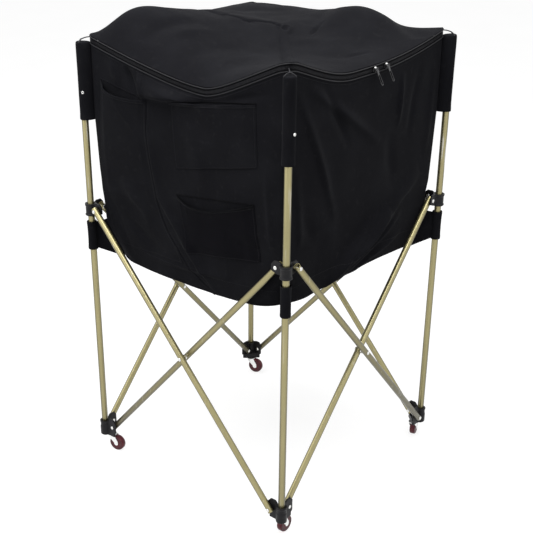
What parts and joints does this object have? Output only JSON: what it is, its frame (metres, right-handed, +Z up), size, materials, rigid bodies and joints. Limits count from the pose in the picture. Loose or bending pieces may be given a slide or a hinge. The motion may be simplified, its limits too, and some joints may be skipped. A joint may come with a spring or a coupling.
{
  "type": "ball_cart",
  "caption": "Folding ball cart: upright tube legs on swivel casters, crossed scissor tubes on every side, and a square fabric bag with a zipped, domed lid and outside pockets.",
  "frame": {"origin": "on the floor, midway between the legs", "axes": "+Z up; the pocket face looks along -Y; the face with the zip pulls looks along +X"},
  "size_m": [0.6388, 0.6432, 1.1361],
  "materials": {
    "tube_metal": "satin champagne-coloured metal",
    "hub_plastic": "moulded charcoal plastic",
    "zinc": "bright zinc plate",
    "tread": "smooth dark maroon",
    "bag_cloth": "matt black woven cloth",
    "mesh_cloth": "black net cloth",
    "zip_tape": "black tape with coil teeth",
    "pull_metal": "glossy black metal"
  },
  "bodies": {
    "frame_front_left": {"leg_front_left": "tube_metal", "foot_hub_front_left": "hub_plastic", "upper_sleeve_front_left": "bag_cloth", "lower_sleeve_front_left": "bag_cloth", "bag_front": "bag_cloth", "bag_left": "bag_cloth", "zip_front": "zip_tape", "pocket_large": "bag_cloth", "pocket_upper": "bag_cloth", "pocket_mesh": "mesh_cloth"},
    "frame_front_right": {"leg_front_right": "tube_metal", "foot_hub_front_right": "hub_plastic", "upper_sleeve_front_right": "bag_cloth", "lower_sleeve_front_right": "bag_cloth", "bag_right": "bag_cloth"},
    "frame_back_right": {"leg_back_right": "tube_metal", "foot_hub_back_right": "hub_plastic", "upper_sleeve_back_right": "bag_cloth", "lower_sleeve_back_right": "bag_cloth"},
    "frame_back_left": {"leg_back_left": "tube_metal", "foot_hub_back_left": "hub_plastic", "upper_sleeve_back_left": "bag_cloth", "lower_sleeve_back_left": "bag_cloth", "bag_back": "bag_cloth", "zip_back": "zip_tape"},
    "front_inner": {"tube_front_inner": "tube_metal", "rivet_front": "zinc"},
    "front_outer": {"tube_front_outer": "tube_metal"},
    "right_inner": {"tube_right_inner": "tube_metal", "rivet_right": "zinc"},
    "right_outer": {"tube_right_outer": "tube_metal"},
    "back_outer": {"tube_back_outer": "tube_metal", "rivet_back": "zinc"},
    "back_inner": {"tube_back_inner": "tube_metal"},
    "left_outer": {"tube_left_outer": "tube_metal", "rivet_left": "zinc"},
    "left_inner": {"tube_left_inner": "tube_metal"},
    "hub_front_left": {"slide_hub_front_left": "hub_plastic"},
    "hub_front_right": {"slide_hub_front_right": "hub_plastic"},
    "hub_back_right": {"slide_hub_back_right": "hub_plastic"},
    "hub_back_left": {"slide_hub_back_left": "hub_plastic"},
    "floor_left": {"bag_floor_left": "bag_cloth"},
    "floor_right": {"bag_floor_right": "bag_cloth"},
    "lid_hinge_strip": {"lid_seam": "zip_tape"},
    "lid_left_half": {"lid_left": "bag_cloth"},
    "lid_right_half": {"lid_right": "bag_cloth"},
    "zip_track_right": {"zip_right": "zip_tape"},
    "zip_slider_near": {"slider_near": "pull_metal"},
    "zip_slider_far": {"slider_far": "pull_metal"},
    "zip_pull_near": {"pull_near": "pull_metal"},
    "zip_pull_far": {"pull_far": "pull_metal"},
    "caster_front_left": {"caster_fork_front_left": "zinc"},
    "wheel_front_left": {"wheel_front_left": "tread"},
    "caster_front_right": {"caster_fork_front_right": "zinc"},
    "wheel_front_right": {"wheel_front_right": "tread"},
    "caster_back_right": {"caster_fork_back_right": "zinc"},
    "wheel_back_right": {"wheel_back_right": "tread"},
    "caster_back_left": {"caster_fork_back_left": "zinc"},
    "wheel_back_left": {"wheel_back_left": "tread"}
  },
  "joints": [
    {"name": "fold", "type": "hinge", "parent": "frame_front_left", "child": "front_inner", "pos_m": [-0.272, -0.28995, 0.07298], "axis": [0, 1, 0], "range_deg": [-34, 0], "deforming": ["bag_front", "bag_right", "bag_back", "bag_left", "bag_floor_left", "bag_floor_right", "zip_front", "zip_right", "zip_back", "lid_seam", "lid_left", "lid_right", "pocket_large", "pocket_upper", "pocket_mesh"]},
    {"name": "front_crossing", "type": "hinge", "parent": "front_inner", "child": "front_outer", "pos_m": [0, -0.3, 0.37699], "axis": [0, 1, 0], "range_deg": [0, 68.01]},
    {"name": "front_right_foot", "type": "hinge", "parent": "front_outer", "child": "frame_front_right", "pos_m": [0.272, -0.31005, 0.07298], "axis": [0, 1, 0], "range_deg": [-34.01, 0]},
    {"name": "front_left_slide", "type": "hinge", "parent": "front_outer", "child": "hub_front_left", "pos_m": [-0.272, -0.31005, 0.681], "axis": [0, 1, 0], "range_deg": [-34.01, 0]},
    {"name": "front_right_slide", "type": "hinge", "parent": "front_inner", "child": "hub_front_right", "pos_m": [0.272, -0.28995, 0.681], "axis": [0, 1, 0], "range_deg": [0, 34.01]},
    {"name": "left_foot", "type": "hinge", "parent": "frame_front_left", "child": "left_outer", "pos_m": [-0.31005, -0.272, 0.07298], "axis": [-1, 0, 0], "range_deg": [-34.01, 0]},
    {"name": "left_crossing", "type": "hinge", "parent": "left_outer", "child": "left_inner", "pos_m": [-0.3, 0, 0.37699], "axis": [-1, 0, 0], "range_deg": [0, 68.01]},
    {"name": "back_left_foot", "type": "hinge", "parent": "left_inner", "child": "frame_back_left", "pos_m": [-0.28995, 0.272, 0.07298], "axis": [-1, 0, 0], "range_deg": [-34.01, 0]},
    {"name": "back_left_slide", "type": "hinge", "parent": "left_outer", "child": "hub_back_left", "pos_m": [-0.31005, 0.272, 0.681], "axis": [-1, 0, 0], "range_deg": [0, 34.01]},
    {"name": "right_foot", "type": "hinge", "parent": "frame_front_right", "child": "right_inner", "pos_m": [0.28995, -0.272, 0.07298], "axis": [-1, 0, 0], "range_deg": [-34.01, 0]},
    {"name": "right_crossing", "type": "hinge", "parent": "right_inner", "child": "right_outer", "pos_m": [0.3, 0, 0.37699], "axis": [-1, 0, 0], "range_deg": [0, 68.01]},
    {"name": "back_right_foot", "type": "hinge", "parent": "right_outer", "child": "frame_back_right", "pos_m": [0.31005, 0.272, 0.07298], "axis": [-1, 0, 0], "range_deg": [-34.01, 0]},
    {"name": "back_right_slide", "type": "hinge", "parent": "right_inner", "child": "hub_back_right", "pos_m": [0.28995, 0.272, 0.681], "axis": [-1, 0, 0], "range_deg": [0, 34.01]},
    {"name": "back_foot", "type": "hinge", "parent": "frame_back_left", "child": "back_outer", "pos_m": [-0.272, 0.31005, 0.07298], "axis": [0, 1, 0], "range_deg": [-34.01, 0]},
    {"name": "back_crossing", "type": "hinge", "parent": "back_outer", "child": "back_inner", "pos_m": [0, 0.3, 0.37699], "axis": [0, 1, 0], "range_deg": [0, 68.01]},
    {"name": "floor_left_turn", "type": "hinge", "parent": "frame_front_left", "child": "floor_left", "pos_m": [-0.27402, 0, 0.572], "axis": [0, 1, 0], "range_deg": [0, 77.89]},
    {"name": "floor_right_turn", "type": "hinge", "parent": "frame_front_right", "child": "floor_right", "pos_m": [0.27402, 0, 0.572], "axis": [0, -1, 0], "range_deg": [0, 77.89]},
    {"name": "lid_strip_turn", "type": "hinge", "parent": "frame_front_left", "child": "lid_hinge_strip", "pos_m": [-0.288, 0, 1.073], "axis": [0, 1, 0], "range_deg": [0, 77.33]},
    {"name": "lid_open", "type": "hinge", "parent": "lid_hinge_strip", "child": "lid_left_half", "pos_m": [-0.288, 0, 1.0893], "axis": [0, -1, 0], "range_deg": [0, 170]},
    {"name": "lid_crease", "type": "hinge", "parent": "lid_left_half", "child": "lid_right_half", "pos_m": [0, 0, 1.11197], "axis": [0, 1, 0], "range_deg": [-154.65, 0]},
    {"name": "zip_track_gather", "type": "slide", "parent": "frame_front_right", "child": "zip_track_right", "axis": [0, 1, 0], "range_m": [-0.2166, 0]},
    {"name": "zip_near_slide", "type": "slide", "parent": "zip_track_right", "child": "zip_slider_near", "axis": [0, -0.999, 0.0449], "range_m": [0, 0.1602]},
    {"name": "zip_near_pull_turn", "type": "hinge", "parent": "zip_slider_near", "child": "zip_pull_near", "pos_m": [0.2968, 0.003, 1.04392], "axis": [0, -1, 0], "range_deg": [-34, 110]},
    {"name": "zip_far_slide", "type": "slide", "parent": "zip_track_right", "child": "zip_slider_far", "axis": [0, 0.9917, 0.1286], "range_m": [0, 0.2017]},
    {"name": "zip_far_pull_turn", "type": "hinge", "parent": "zip_slider_far", "child": "zip_pull_far", "pos_m": [0.2968, 0.045, 1.04621], "axis": [0, -1, 0], "range_deg": [-34, 110]},
    {"name": "swivel_front_left", "type": "hinge", "parent": "frame_front_left", "child": "caster_front_left", "pos_m": [-0.2875, -0.2875, 0.05], "axis": [0, 0, 1], "continuous": true},
    {"name": "roll_front_left", "type": "hinge", "parent": "caster_front_left", "child": "wheel_front_left", "pos_m": [-0.27234, -0.28428, 0.021], "axis": [-0.2079, 0.9781, 0], "continuous": true},
    {"name": "swivel_front_right", "type": "hinge", "parent": "frame_front_right", "child": "caster_front_right", "pos_m": [0.2875, -0.2875, 0.05], "axis": [0, 0, 1], "continuous": true},
    {"name": "roll_front_right", "type": "hinge", "parent": "caster_front_right", "child": "wheel_front_right", "pos_m": [0.28696, -0.27201, 0.021], "axis": [-0.9994, -0.0349, 0], "continuous": true},
    {"name": "swivel_back_right", "type": "hinge", "parent": "frame_back_right", "child": "caster_back_right", "pos_m": [0.2875, 0.2875, 0.05], "axis": [0, 0, 1], "continuous": true},
    {"name": "roll_back_right", "type": "hinge", "parent": "caster_back_right", "child": "wheel_back_right", "pos_m": [0.28271, 0.30224, 0.021], "axis": [-0.9511, -0.309, 0], "continuous": true},
    {"name": "swivel_back_left", "type": "hinge", "parent": "frame_back_left", "child": "caster_back_left", "pos_m": [-0.2875, 0.2875, 0.05], "axis": [0, 0, 1], "continuous": true},
    {"name": "roll_back_left", "type": "hinge", "parent": "caster_back_left", "child": "wheel_back_left", "pos_m": [-0.27246, 0.29125, 0.021], "axis": [-0.2419, 0.9703, 0], "continuous": true}
  ],
  "couplings": [
    {"joint": "front_crossing", "follows": "fold", "ratio": -2},
    {"joint": "front_right_foot", "follows": "fold", "ratio": 1},
    {"joint": "front_left_slide", "follows": "fold", "ratio": 1},
    {"joint": "front_right_slide", "follows": "fold", "ratio": -1},
    {"joint": "left_foot", "follows": "fold", "ratio": 1},
    {"joint": "left_crossing", "follows": "fold", "ratio": -2},
    {"joint": "back_left_foot", "follows": "fold", "ratio": 1},
    {"joint": "back_left_slide", "follows": "fold", "ratio": -1},
    {"joint": "right_foot", "follows": "fold", "ratio": 1},
    {"joint": "right_crossing", "follows": "fold", "ratio": -2},
    {"joint": "back_right_foot", "follows": "fold", "ratio": 1},
    {"joint": "back_right_slide", "follows": "fold", "ratio": -1},
    {"joint": "back_foot", "follows": "fold", "ratio": 1},
    {"joint": "back_crossing", "follows": "fold", "ratio": -2},
    {"joint": "floor_left_turn", "follows": "fold", "ratio": -2.2907},
    {"joint": "floor_right_turn", "follows": "fold", "ratio": -2.2907},
    {"joint": "lid_strip_turn", "follows": "fold", "ratio": -2.2741},
    {"joint": "lid_crease", "follows": "fold", "ratio": 4.5482},
    {"joint": "zip_track_gather", "follows": "fold", "m_per_rad": 0.36484}
  ]
}
